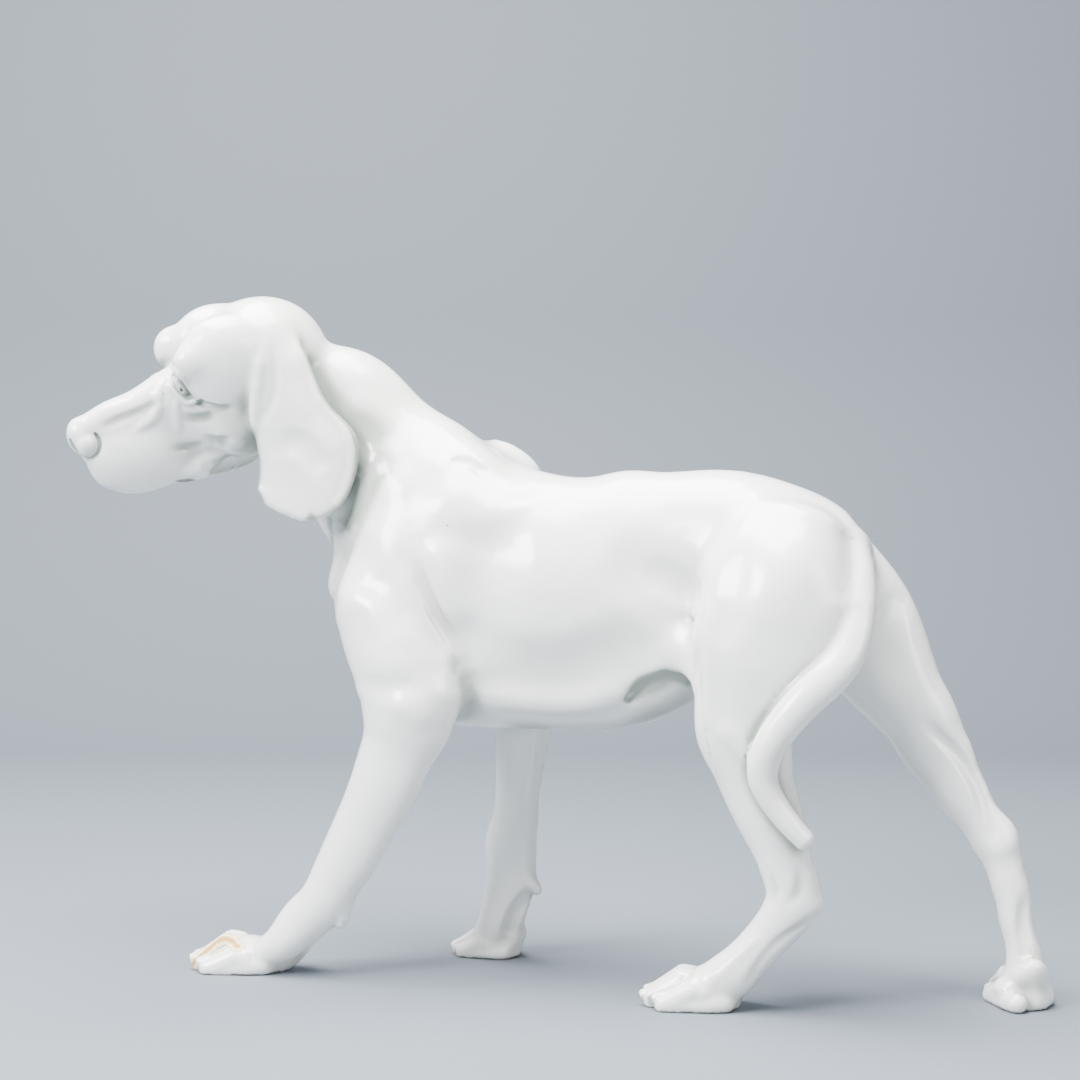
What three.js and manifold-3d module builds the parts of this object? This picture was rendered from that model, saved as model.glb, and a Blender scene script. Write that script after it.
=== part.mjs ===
// A walking young hound, cast as one white glazed body with no base.
// Millimetres, z up, soles on z = 0. The dog looks along -x and its left flank faces -y.
import * as THREE from "three";
import { mergeVertices } from "three/addons/utils/BufferGeometryUtils.js";
import Module from "manifold-3d";

const glazeColour = "#f1f3f1";
const glazeRoughness = 0.12;
const glazeMetalness = 0.0;

// The soles are cut flat at this level, by a slab this deep and this wide.
const soleLevel = 0;
const cutDepth = 60;
const cutSpan = 1200;

// Each station: centre x, y, z, then half width to the side, reach to the back or top, reach to the front or bottom.
// The side of a section lies as near to the y axis as the run of the limb allows.
const torsoStations = [
  [-176, 0, 328, 26, 28, 30],
  [-158, 0, 322, 44, 60, 62],
  [-128, 0, 320, 57, 85, 95],
  [-90, 0, 322, 62, 98, 114],
  [-40, 0, 318, 64, 102, 114],
  [10, 0, 315, 64, 96, 110],
  [50, 0, 316, 62, 96, 109],
  [85, 0, 322, 58, 96, 104],
  [120, 0, 332, 54, 87, 95],
  [160, 0, 345, 52, 72, 82],
  [200, 0, 350, 50, 57, 68],
  [232, 0, 348, 42, 44, 54],
  [250, 0, 344, 30, 32, 40],
];
const neckStations = [
  [-228, -26, 490, 36, 42, 42],
  [-212, -17, 474, 39, 53, 48],
  [-192, -9, 454, 42, 63, 56],
  [-166, -2, 426, 46, 73, 66],
  [-134, 0, 396, 52, 82, 76],
  [-95, 0, 368, 54, 82, 76],
];
const leftShoulderStations = [
  [-62, -30, 424, 9, 16, 16],
  [-82, -42, 392, 19, 32, 30],
  [-112, -48, 350, 25, 46, 42],
  [-138, -50, 308, 28, 46, 40],
  [-140, -50, 280, 28, 40, 36],
];
const leftForelegStations = [
  [-132, -52, 282, 26, 44, 32],
  [-112, -56, 252, 29, 47, 40],
  [-104, -57, 230, 27, 40, 41],
  [-106, -58, 206, 24, 34, 33],
  [-113, -59, 190, 22, 31, 30],
  [-123, -60, 165, 20, 29, 28],
  [-140, -60, 131, 18, 27, 25],
  [-158, -60, 98, 17, 25, 23],
  [-168, -60, 81, 17, 24, 21],
  [-178, -60, 64, 18, 24, 20],
  [-194, -59, 45, 18, 21, 19],
  [-216, -59, 29, 19, 18, 16],
  [-236, -59, 21, 20, 14, 13],
];
const rightShoulderStations = [
  [-44, 30, 432, 9, 16, 14],
  [-62, 42, 396, 19, 32, 30],
  [-88, 48, 350, 25, 44, 40],
  [-112, 50, 308, 28, 42, 40],
  [-108, 50, 282, 28, 38, 36],
];
const rightForelegStations = [
  [-100, 50, 286, 26, 38, 34],
  [-68, 53, 254, 28, 38, 38],
  [-43, 54, 228, 25, 29, 29],
  [-47, 55, 188, 20, 23, 23],
  [-51, 57, 154, 17, 20, 20],
  [-54, 58, 137, 16, 18, 18],
  [-56, 59, 119, 16, 17.5, 19],
  [-59, 60, 102, 17, 18.5, 22],
  [-58, 61, 85, 17, 20, 21],
  [-60, 61, 66, 17, 21, 18],
  [-65, 62, 48, 17, 19, 17],
  [-71, 64, 32, 18, 16, 16],
  [-80, 69, 20, 19, 12, 14],
];
const leftHindStations = [
  [214, -30, 372, 28, 34, 44],
  [206, -44, 338, 35, 52, 62],
  [198, -52, 304, 36, 60, 66],
  [190, -55, 270, 34, 56, 58],
  [182, -55, 240, 29, 46, 46],
  [178, -55, 215, 25, 37, 38],
  [181, -54, 194, 22, 32, 31],
  [186, -53, 172, 20, 29, 28],
  [196, -53, 149, 18, 26, 26],
  [203, -53, 130, 16, 22, 23],
  [209, -53, 110, 15, 19, 20],
  [214, -53, 94, 15, 20, 20],
  [205, -53, 75, 15, 20, 18],
  [192, -53, 57, 14, 17, 17],
  [177, -53, 40, 15, 17, 17],
  [158, -53, 26, 17, 15, 16],
  [144, -53, 20, 18, 12, 13],
];
const rightHindStations = [
  [206, 28, 366, 28, 34, 44],
  [222, 42, 330, 35, 46, 58],
  [240, 46, 300, 35, 50, 54],
  [258, 47, 270, 31, 44, 46],
  [281, 46, 234, 25, 33, 33],
  [292, 46, 219, 21, 30, 30],
  [300, 46, 203, 19, 28, 28],
  [309, 47, 188, 18, 26, 26],
  [328, 47, 157, 16, 20, 20],
  [339, 47, 142, 14, 17, 17],
  [349, 47, 127, 14, 18, 18],
  [356, 47, 112, 13, 15.5, 15.5],
  [361, 46, 96, 13, 14.5, 14.5],
  [365, 46, 81, 13, 14, 14],
  [367, 45, 66, 12.5, 13, 13],
  [371, 44, 51, 12, 12.5, 12.5],
  [374, 44, 36, 13, 14, 14],
  [372, 46, 22, 15, 13, 13],
];
const tailStations = [
  [228, 4, 372, 9, 9, 9],
  [249, -10, 360, 10, 10, 10],
  [259, -24, 342, 12, 12, 12],
  [262, -42, 317, 12, 13, 13],
  [258, -57, 288, 12, 13, 13],
  [244, -69, 259, 12, 14, 14],
  [221, -76, 232, 12, 14, 14],
  [200, -78, 210, 11, 13, 13],
  [191, -77, 187, 10, 11, 11],
  [201, -76, 168, 9, 11, 11],
  [217, -75, 153, 8, 10, 10],
  [226, -75, 145, 6, 7, 7],
];

// The head has a frame of its own: x toward the nose, y to the dog's left, z to the crown.
const headCentre = [-250, -40, 490];
const headTurn = 218;
const headDip = 10;
const muzzleStations = [
  [-40, 0, 8, 40, 34, 40],
  [0, 0, 4, 42, 40, 44],
  [36, 0, -4, 36, 36, 46],
  [66, 0, -12, 25, 33, 44],
  [98, 0, -22, 18, 30, 34],
  [128, 0, -26, 15.5, 24, 26],
  [144, 0, -26, 13, 19, 18],
];
const jawStations = [
  [120, 0, -58, 10, 10, 10],
  [90, 0, -58, 15, 12, 13],
  [55, 0, -54, 19, 14, 14],
  [20, 0, -48, 26, 16, 18],
];
const earStations = [
  [-24, 36, 34, 8, 18, 16],
  [-20, 45, 10, 8, 30, 26],
  [-15, 50, -20, 7, 34, 34],
  [-15, 54, -50, 6, 38, 44],
  [-14, 58, -78, 5.5, 38, 44],
  [-10, 60, -98, 5, 32, 34],
  [-6, 61, -110, 4, 20, 22],
];

// Rounded masses of the head: centre, three radii, then turn about z and dip about y in degrees.
// Rows with a side offset are made twice, once for each side.
const headMasses = [
  { name: "cranium", centre: [-8, 0, 22], radii: [58, 44, 48], turn: 0, dip: 0, paired: false },
  { name: "forehead", centre: [30, 18, 32], radii: [37, 25, 27], turn: -10, dip: 14, paired: true },
  { name: "brow", centre: [56, 24, 24], radii: [16, 12, 17], turn: 20, dip: 0, paired: true },
  { name: "cheek", centre: [8, 27, -20], radii: [36, 21, 34], turn: 0, dip: 0, paired: true },
  { name: "flew", centre: [104, 11, -46], radii: [42, 14, 27], turn: 0, dip: 0, paired: true },
  { name: "nose pad", centre: [149, 0, -24], radii: [12, 14, 17], turn: 0, dip: 14, paired: false },
];

// Paws: middle of the sole, heading of the toes, and size against the left fore paw.
const paws = [
  { name: "left fore", centre: [-256, -58], heading: 192, size: 1.05 },
  { name: "right fore", centre: [-84, 70], heading: 155, size: 0.95 },
  { name: "left hind", centre: [137, -54], heading: 190, size: 0.98 },
  { name: "right hind", centre: [371, 48], heading: 142, size: 0.88 },
];
const pawBody = { centre: [-8, 0, 11], radii: [36, 23, 19] };
const toes = [
  { x: 10, y: -16, radii: [20, 9.6, 14], spread: -10 },
  { x: 20, y: -5.8, radii: [21, 10.2, 15], spread: -3 },
  { x: 20, y: 5.8, radii: [21, 10.2, 15], spread: 3 },
  { x: 10, y: 16, radii: [20, 9.6, 14], spread: 10 },
];
const toeHeight = 10;
const toeDip = 12;

// How finely the surfaces are stepped.
const capSteps = [30, 60];
const capReach = 0.65;
const earCapReach = 1.1;

const wasm = await Module();
wasm.setup();

function toSolid(geometry) {
  const bare = geometry.clone();
  bare.deleteAttribute("normal");
  bare.deleteAttribute("uv");
  const welded = mergeVertices(bare, 1e-4);
  const skin = new wasm.Mesh({
    numProp: 3,
    vertProperties: new Float32Array(welded.attributes.position.array),
    triVerts: new Uint32Array(welded.index.array),
  });
  return new wasm.Manifold(skin);
}

function toGeometry(solid) {
  const skin = solid.getMesh();
  const geometry = new THREE.BufferGeometry();
  geometry.setAttribute("position", new THREE.BufferAttribute(new Float32Array(skin.vertProperties), 3));
  geometry.setIndex(new THREE.BufferAttribute(new Uint32Array(skin.triVerts), 1));
  return geometry;
}

function joined(solids) {
  let whole = solids[0];
  for (const solid of solids.slice(1)) {
    whole = whole.add(solid);
  }
  return whole;
}

// Skin stretched over oval sections that follow the stations, rounded over at both ends.
function limb(stations, steps, around, reach) {
  const spine = new THREE.CatmullRomCurve3(stations.map((s) => new THREE.Vector3(s[0], s[1], s[2])));
  const girth = new THREE.CatmullRomCurve3(stations.map((s) => new THREE.Vector3(s[3], s[4], s[5])));
  const across = new THREE.Vector3(0, 1, 0);
  const positions = [];
  const rings = [];

  function addRing(centre, run, sizes, scale) {
    const side = across.clone().addScaledVector(run, -across.dot(run)).normalize();
    const crest = new THREE.Vector3().crossVectors(run, side);
    for (let i = 0; i < around; i += 1) {
      const angle = (2 * Math.PI * i) / around;
      const rise = Math.sin(angle);
      const lift = rise > 0 ? sizes.y : sizes.z;
      const point = centre.clone();
      point.addScaledVector(side, Math.cos(angle) * sizes.x * scale);
      point.addScaledVector(crest, rise * lift * scale);
      positions.push(point.x, point.y, point.z);
    }
    rings.push(positions.length / 3 - around);
  }

  const first = { centre: spine.getPoint(0), run: spine.getTangent(0), sizes: girth.getPoint(0) };
  const last = { centre: spine.getPoint(1), run: spine.getTangent(1), sizes: girth.getPoint(1) };
  for (const degrees of [...capSteps].reverse()) {
    const a = THREE.MathUtils.degToRad(degrees);
    const back = first.centre.clone().addScaledVector(first.run, -Math.sin(a) * first.sizes.x * reach);
    addRing(back, first.run, first.sizes, Math.cos(a));
  }
  for (let i = 0; i <= steps; i += 1) {
    const t = i / steps;
    addRing(spine.getPoint(t), spine.getTangent(t), girth.getPoint(t), 1);
  }
  for (const degrees of capSteps) {
    const a = THREE.MathUtils.degToRad(degrees);
    const ahead = last.centre.clone().addScaledVector(last.run, Math.sin(a) * last.sizes.x * reach);
    addRing(ahead, last.run, last.sizes, Math.cos(a));
  }
  const startPole = positions.length / 3;
  const start = first.centre.clone().addScaledVector(first.run, -first.sizes.x * reach);
  positions.push(start.x, start.y, start.z);
  const endPole = positions.length / 3;
  const end = last.centre.clone().addScaledVector(last.run, last.sizes.x * reach);
  positions.push(end.x, end.y, end.z);

  const faces = [];
  for (let r = 0; r + 1 < rings.length; r += 1) {
    for (let i = 0; i < around; i += 1) {
      const j = (i + 1) % around;
      const a = rings[r] + i;
      const b = rings[r] + j;
      const c = rings[r + 1] + j;
      const d = rings[r + 1] + i;
      faces.push(a, b, c, a, c, d);
    }
  }
  for (let i = 0; i < around; i += 1) {
    const j = (i + 1) % around;
    faces.push(startPole, rings[0] + j, rings[0] + i);
    faces.push(endPole, rings[rings.length - 1] + i, rings[rings.length - 1] + j);
  }
  const geometry = new THREE.BufferGeometry();
  geometry.setAttribute("position", new THREE.Float32BufferAttribute(positions, 3));
  geometry.setIndex(faces);
  return geometry;
}

function mass(centre, radii, turn, dip, around, rows) {
  const ball = new THREE.SphereGeometry(1, around, rows);
  ball.rotateX(Math.PI / 2);
  ball.scale(radii[0], radii[1], radii[2]);
  ball.rotateY(THREE.MathUtils.degToRad(dip));
  ball.rotateZ(THREE.MathUtils.degToRad(turn));
  ball.translate(centre[0], centre[1], centre[2]);
  return ball;
}

function mirrored(stations) {
  return stations.map((s) => [s[0], -s[1], ...s.slice(2)]);
}

function makeHead() {
  const pieces = [limb(muzzleStations, 12, 16, capReach), limb(jawStations, 4, 10, capReach)];
  pieces.push(limb(earStations, 9, 12, earCapReach));
  pieces.push(limb(mirrored(earStations), 9, 12, earCapReach));
  for (const part of headMasses) {
    const around = part.name === "cranium" ? 18 : 12;
    const sides = part.paired ? [1, -1] : [1];
    for (const side of sides) {
      const centre = [part.centre[0], part.centre[1] * side, part.centre[2]];
      pieces.push(mass(centre, part.radii, part.turn * side, part.dip, around, around / 2));
    }
  }
  for (const piece of pieces) {
    piece.rotateY(THREE.MathUtils.degToRad(headDip));
    piece.rotateZ(THREE.MathUtils.degToRad(headTurn));
    piece.translate(headCentre[0], headCentre[1], headCentre[2]);
  }
  return pieces;
}

function makePaw(paw) {
  const pieces = [mass(pawBody.centre, pawBody.radii, 0, 0, 12, 7)];
  for (const toe of toes) {
    pieces.push(mass([toe.x, toe.y, toeHeight], toe.radii, toe.spread, toeDip, 8, 5));
  }
  for (const piece of pieces) {
    piece.scale(paw.size, paw.size, paw.size);
    piece.rotateZ(THREE.MathUtils.degToRad(paw.heading));
    piece.translate(paw.centre[0], paw.centre[1], soleLevel);
  }
  return pieces;
}

const trunk = [
  limb(torsoStations, 17, 22, capReach),
  limb(neckStations, 6, 16, capReach),
  limb(leftShoulderStations, 6, 12, capReach),
  limb(rightShoulderStations, 6, 12, capReach),
];
const legs = [
  limb(leftForelegStations, 17, 12, capReach),
  limb(rightForelegStations, 17, 12, capReach),
  limb(leftHindStations, 22, 12, capReach),
  limb(rightHindStations, 22, 12, capReach),
];
const tail = limb(tailStations, 18, 8, capReach);

const everything = [...trunk, ...legs, tail, ...makeHead(), ...paws.flatMap(makePaw)];
const whole = joined(everything.map(toSolid));

const ground = new THREE.BoxGeometry(cutSpan, cutSpan, cutDepth);
ground.translate(0, 0, soleLevel - cutDepth / 2);
const standing = whole.subtract(toSolid(ground));

// The frame sits at the middle of the outline, on the ground.
const body = toGeometry(standing);
body.computeBoundingBox();
const middle = body.boundingBox.getCenter(new THREE.Vector3());
body.translate(-middle.x, -middle.y, 0);

const glaze = new THREE.MeshStandardMaterial({
  color: glazeColour,
  roughness: glazeRoughness,
  metalness: glazeMetalness,
});
const dog = new THREE.Mesh(body, glaze);
dog.name = "dog";

const figure = new THREE.Group();
figure.add(dog);

export default figure;
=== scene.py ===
import bpy
import math
import time
import numpy as np
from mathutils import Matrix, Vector


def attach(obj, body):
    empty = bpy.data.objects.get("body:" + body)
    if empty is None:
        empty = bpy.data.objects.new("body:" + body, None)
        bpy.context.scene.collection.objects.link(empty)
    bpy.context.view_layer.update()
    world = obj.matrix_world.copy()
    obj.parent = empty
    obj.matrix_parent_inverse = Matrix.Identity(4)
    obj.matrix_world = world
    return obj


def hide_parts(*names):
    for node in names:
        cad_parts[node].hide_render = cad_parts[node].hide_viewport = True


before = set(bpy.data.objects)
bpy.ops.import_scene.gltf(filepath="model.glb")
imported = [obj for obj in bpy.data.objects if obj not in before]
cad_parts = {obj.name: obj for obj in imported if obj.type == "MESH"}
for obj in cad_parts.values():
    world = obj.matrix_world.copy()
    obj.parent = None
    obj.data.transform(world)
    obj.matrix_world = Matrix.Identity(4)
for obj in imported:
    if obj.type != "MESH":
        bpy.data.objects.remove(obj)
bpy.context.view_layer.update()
started = time.time()


def report(*words):
    print(*words, "at", round(time.time() - started, 1), "s")


def rotation(yaw=0, pitch=0, roll=0):
    # roll about x, then pitch about y, then yaw about z, all in degrees
    a, b, c = np.radians([yaw, pitch, roll])
    aboutZ = np.array([[math.cos(a), -math.sin(a), 0], [math.sin(a), math.cos(a), 0], [0, 0, 1]])
    aboutY = np.array([[math.cos(b), 0, math.sin(b)], [0, 1, 0], [-math.sin(b), 0, math.cos(b)]])
    aboutX = np.array([[1, 0, 0], [0, math.cos(c), -math.sin(c)], [0, math.sin(c), math.cos(c)]])
    return aboutZ @ aboutY @ aboutX


class Place:
    # a frame of its own for a head or a paw
    def __init__(self, at=(0, 0, 0), yaw=0, pitch=0, roll=0, size=1.0):
        self.at = np.array(at, float)
        self.turn = rotation(yaw, pitch, roll)
        self.size = size

    def points(self, p):
        return np.asarray(p, float) @ self.turn.T * self.size + self.at


ground = Place()


def splineBend(knots, values):
    # second derivatives of a natural cubic spline
    n = len(knots)
    gap = np.diff(knots)
    system = np.eye(n)
    rise = np.zeros((n, values.shape[1]))
    for i in range(1, n - 1):
        system[i, i - 1] = gap[i - 1]
        system[i, i] = 2 * (gap[i - 1] + gap[i])
        system[i, i + 1] = gap[i]
        rise[i] = 6 * ((values[i + 1] - values[i]) / gap[i] - (values[i] - values[i - 1]) / gap[i - 1])
    return np.linalg.solve(system, rise)


def spanOf(knots, t):
    # the span each t lies in, its length, and how far t is from its two ends
    i = np.clip(np.searchsorted(knots, t, side="right") - 1, 0, len(knots) - 2)
    h = (knots[i + 1] - knots[i])[:, None]
    u = (t - knots[i])[:, None]
    return i, h, u, h - u


def splineAt(knots, values, bend, t):
    i, h, u, w = spanOf(knots, t)
    curve = (bend[i] * w**3 + bend[i + 1] * u**3) / (6 * h)
    return curve + (values[i] / h - bend[i] * h / 6) * w + (values[i + 1] / h - bend[i + 1] * h / 6) * u


def lengths(rows):
    return np.linalg.norm(rows, axis=1)


def runAlong(points):
    # how far along the line each of its points lies
    return np.concatenate([[0], np.cumsum(lengths(np.diff(points, axis=0)))])


def smoothLine(points, gap=6):
    # a spline through the points, as closely spaced points
    points = np.asarray(points, float)
    if len(points) < 3:
        return points
    knots = runAlong(points)
    t = np.linspace(0, knots[-1], max(3, int(knots[-1] / gap)))
    return splineAt(knots, points, splineBend(knots, points), t)


class Sweep:
    # an oval carried along a smooth line through its stations
    cut = False
    fine = False

    def __init__(self, stations, blend, ends=(0.6, 0.6), square=2.0, place=ground, detail=0):
        s = np.array([[*row, *row[-1:] * (6 - len(row))] for row in stations], float)
        s[:, 3:6] *= place.size
        s[:, :3] = place.points(s[:, :3])
        self.knots = runAlong(s[:, :3])
        self.values = s
        self.bend = splineBend(self.knots, s)
        self.blend = blend
        self.ends = ends
        self.square = square
        self.detail = detail
        self.side = place.turn[:, 1]
        self.along = np.linspace(0, self.knots[-1], 12 * len(s))
        self.spine = self.at(self.along)[:, :3]
        reach = s[:, 3:6].max() * 1.15 + 4
        self.low = self.spine.min(0) - reach
        self.high = self.spine.max(0) + reach

    def at(self, t):
        return splineAt(self.knots, self.values, self.bend, t)

    def slope(self, t):
        i, h, u, w = spanOf(self.knots, t)
        b, v = self.bend[:, :3], self.values[:, :3]
        curve = (b[i + 1] * u**2 - b[i] * w**2) / (2 * h)
        return curve + (v[i + 1] - v[i]) / h - (b[i + 1] - b[i]) * h / 6

    def frame(self, t):
        # the station at t, and its three directions: along, to the side, toward the crest
        c = self.at(t)
        d = self.slope(t)
        d /= lengths(d)[:, None]
        side = self.side - (self.side * d).sum(1)[:, None] * d
        side /= lengths(side)[:, None]
        crest = np.cross(d, side)
        if c.shape[1] > 6:
            turn = np.radians(c[:, 6])[:, None]
            turned = side * np.cos(turn) + crest * np.sin(turn)
            crest = crest * np.cos(turn) - side * np.sin(turn)
            side = turned
        return c, d, side, crest

    def field(self, p):
        near = np.argmin((self.spine**2).sum(1)[None] - 2 * p @ self.spine.T, axis=1)
        t = self.along[near]
        last = self.knots[-1]
        for _ in range(2):
            c = self.at(t)[:, :3]
            d = self.slope(t)
            t = np.clip(t + ((p - c) * d).sum(1) / (d * d).sum(1), 0, last)
        c, d, side, crest = self.frame(t)
        q = p - c[:, :3]
        a = (q * side).sum(1)
        b = (q * crest).sum(1)
        e = (q * d).sum(1)
        wide = np.maximum(c[:, 3], 0.5)
        tall = np.maximum(np.where(b > 0, c[:, 4], c[:, 5]), 0.5)
        cap = np.maximum(np.where(t < last / 2, self.ends[0], self.ends[1]) * wide, 0.5)
        n = self.square
        ring = (np.abs(a / wide) ** n + np.abs(b / tall) ** n) ** (2 / n)
        k1 = np.sqrt(ring + (e / cap) ** 2)
        k2 = np.sqrt((a / wide**2) ** 2 + (b / tall**2) ** 2 + (e / cap**2) ** 2) + 1e-9
        return k1 * (k1 - 1) / k2


class Ball:
    # an egg with three radii, turned (yaw, pitch, roll)
    cut = False
    fine = False

    def __init__(self, centre, radii, blend, turn=(0, 0, 0), place=ground, detail=0):
        self.axes = place.turn @ rotation(*turn)
        self.centre = place.points([centre])[0]
        self.radii = np.array(radii, float) * place.size
        self.blend = blend
        self.detail = detail
        box = np.abs(self.axes) @ self.radii
        self.low = self.centre - box - 1
        self.high = self.centre + box + 1

    def field(self, p):
        q = (p - self.centre) @ self.axes
        k1 = np.sqrt(((q / self.radii) ** 2).sum(1))
        k2 = np.sqrt(((q / self.radii**2) ** 2).sum(1)) + 1e-9
        return k1 * (k1 - 1) / k2


def toSegment(p, a, b):
    # how far from a to b the nearest spot to each point lies, and its distance
    ab = b - a
    h = np.clip((p - a) @ ab / (ab @ ab), 0, 1)
    return h, lengths(p - a - h[:, None] * ab)


class Cord:
    # a round cord of changing thickness through rows of x, y, z, radius
    def __init__(self, rows, blend, place=ground, cut=False, detail=0, fine=False):
        r = np.array(rows, float)
        r[:, 3] *= place.size
        r[:, :3] = place.points(r[:, :3])
        self.rows = r
        self.blend = blend
        self.cut = cut
        self.fine = fine
        self.detail = 3 if fine else detail
        reach = r[:, 3].max() + 1
        self.low = r[:, :3].min(0) - reach
        self.high = r[:, :3].max(0) + reach

    def field(self, p):
        best = np.full(len(p), 1e9)
        for a, b in zip(self.rows[:-1], self.rows[1:]):
            h, d = toSegment(p, a[:3], b[:3])
            best = np.minimum(best, d - (a[3] + (b[3] - a[3]) * h))
        return best


class Relief:
    # raises the skin by lift along a path, or sinks it where lift is below zero
    def __init__(self, path, reach, lift):
        self.path = path
        self.reach = reach
        self.lift = lift
        self.low = path.min(0) - reach
        self.high = path.max(0) + reach
        self.run = runAlong(path)
        self.taper = self.run[-1] > 3 * reach

    def near(self, p):
        # distance to the path, and how far along it
        d = lengths(p - self.path[0])
        t = np.full(len(p), 0.5)
        for i in range(len(self.path) - 1):
            h, di = toSegment(p, self.path[i], self.path[i + 1])
            closer = di <= d
            d = np.where(closer, di, d)
            t = np.where(closer, (self.run[i] + h * (self.run[i + 1] - self.run[i])) / self.run[-1], t)
        return d, t

    def amount(self, p):
        d, t = self.near(p)
        w = np.clip(1 - (d / self.reach) ** 2, 0, None) ** 2
        if self.taper:
            w = w * (1 - 0.8 * np.abs(2 * t - 1) ** 3)
        return self.lift * w


def onSkin(field, place, spots, outside):
    # where lines drawn from the side meet the skin; spots are x and z in the place's own frame
    spots = np.asarray(spots, float)
    depths = np.linspace(outside, -0.6 * outside, 97)
    rows = np.array([[(x, y, z) for y in depths] for x, z in spots])
    values = field(place.points(rows.reshape(-1, 3))).reshape(len(spots), -1)
    out = []
    for row, value in zip(rows, values):
        inside = np.flatnonzero(value < 0)
        if len(inside) and inside[0]:
            i = inside[0]
            t = value[i - 1] / (value[i - 1] - value[i])
            out.append(row[i - 1] + t * (row[i] - row[i - 1]))
        else:
            out.append(row[np.argmin(value)])
    return np.array(out)


def boxGap(p, shape):
    # how far each point lies outside the box around a form
    return lengths(np.maximum(0, np.maximum(shape.low - p, p - shape.high)))


def inBox(p, shape, margin=0):
    # which points lie in the box around a form or a relief
    return np.all((p > shape.low - margin) & (p < shape.high + margin), axis=1)


def softMin(a, b, k):
    # the smaller of the two, rounded over where they come within k of each other
    h = np.maximum(k - np.abs(a - b), 0) / k
    return np.minimum(a, b) - h**3 * k / 6


def fieldOf(forms, reliefs, soles=True):
    # distance to the skin, below zero inside the dog
    def field(p):
        d = np.full(len(p), 1e3)
        for form in forms:
            gap = boxGap(p, form)
            near = gap < (form.blend + 1 if form.cut else d + form.blend)
            if not near.any():
                continue
            v = form.field(p[near])
            if form.cut:
                d[near] = -softMin(-d[near], v, form.blend)
            else:
                d[near] = softMin(d[near], v, form.blend)
        for relief in reliefs:
            near = inBox(p, relief)
            if near.any():
                d[near] -= relief.amount(p[near])
        if soles:
            d = np.maximum(d, -p[:, 2])
        return d

    def inParts(p):
        return np.concatenate([field(q) for q in np.array_split(p, max(1, len(p) // 40000))])

    return inParts


def firstSkin(field, low, high, cell, coarse=4):
    # one vertex in each cell that the skin passes through, joined into quads
    low = np.array(low, float)
    big = cell * coarse
    count = np.ceil((np.array(high) - low) / big).astype(int)
    axes = [low[i] + big * np.arange(count[i] + 1) for i in range(3)]
    grid = np.meshgrid(*axes, indexing="ij")
    values = field(np.stack([g.ravel() for g in grid], 1)).reshape(grid[0].shape)
    for axis in range(3):
        m = values.shape[axis]
        t = np.arange((m - 1) * coarse + 1) / coarse
        i = np.minimum(t.astype(int), m - 2)
        f = (t - i).reshape([-1 if k == axis else 1 for k in range(3)])
        values = np.take(values, i, axis) * (1 - f) + np.take(values, i + 1, axis) * f
    near = np.argwhere(np.abs(values) < big * 0.9)
    values[tuple(near.T)] = field(low + near * cell)
    inside = values < 0
    corners = [(i, j, k) for i in (0, 1) for j in (0, 1) for k in (0, 1)]
    size = [n - 1 for n in inside.shape]
    filled = np.zeros(size, np.int8)
    for i, j, k in corners:
        filled += inside[i:i + size[0], j:j + size[1], k:k + size[2]]
    cells = np.argwhere((filled > 0) & (filled < 8))
    number = np.full(size, -1)
    number[tuple(cells.T)] = np.arange(len(cells))
    total = np.zeros((len(cells), 3))
    hits = np.zeros(len(cells))
    for corner in corners:
        for axis in range(3):
            if corner[axis]:
                continue
            a = cells + corner
            step = np.eye(3, dtype=int)[axis]
            va = values[tuple(a.T)]
            vb = values[tuple((a + step).T)]
            hit = (va < 0) != (vb < 0)
            t = np.where(hit, va / np.where(va == vb, 1, va - vb), 0)
            total += np.where(hit[:, None], a + t[:, None] * step, 0)
            hits += hit
    verts = low + cell * total / hits[:, None]
    quads = []
    for axis in range(3):
        edges = np.argwhere(np.diff(inside, axis=axis))
        leaving = inside[tuple(edges.T)]
        around = np.roll([(0, 0, 0), (0, -1, 0), (0, -1, -1), (0, 0, -1)], axis, axis=1)
        ring = np.stack([number[tuple((edges + shift).T)] for shift in around], 1)
        quads.append(np.where(leaving[:, None], ring, ring[:, ::-1]))
    quads = np.concatenate(quads)
    return verts, np.concatenate([quads[:, [0, 1, 2]], quads[:, [0, 2, 3]]])


def settled(field, verts, rounds=1, eps=0.3, cap=2.0):
    # slides each vertex along the field's slope onto the skin
    v = verts.copy()
    left = np.arange(len(v))
    steps = np.concatenate([np.zeros((1, 3)), np.eye(3) * eps])
    for _ in range(rounds):
        d = field((v[left][None] + steps[:, None]).reshape(-1, 3)).reshape(4, len(left))
        slope = (d[1:] - d[0]).T / eps
        move = -d[0][:, None] * slope / np.maximum((slope**2).sum(1), 0.05)[:, None]
        size = lengths(move)[:, None]
        v[left] += move * np.minimum(1, cap / np.maximum(size, 1e-9))
        left = left[np.abs(d[0]) > 0.3]
        if len(left) == 0:
            break
    return v


def edgeKeys(tris, count):
    # one number for each edge, the same from both of its triangles
    pairs = np.stack([tris[:, [0, 1]], tris[:, [1, 2]], tris[:, [2, 0]]], 1)
    low = pairs.min(2).astype(np.int64)
    return low * count + pairs.max(2)


def relaxed(field, verts, tris, rounds, chosen=None, amount=0.5):
    # evens out the vertices and puts them back on the skin
    keys = np.unique(edgeKeys(tris, len(verts)))
    a, b = keys // len(verts), keys % len(verts)
    degree = np.bincount(a, minlength=len(verts)) + np.bincount(b, minlength=len(verts))
    chosen = np.arange(len(verts)) if chosen is None else chosen
    v = verts.copy()
    for _ in range(rounds):
        sums = [np.bincount(a, v[b, k], len(v)) + np.bincount(b, v[a, k], len(v)) for k in range(3)]
        even = np.stack(sums, 1) / degree[:, None]
        v[chosen] = settled(field, v[chosen] + amount * (even[chosen] - v[chosen]))
    return v


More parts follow.
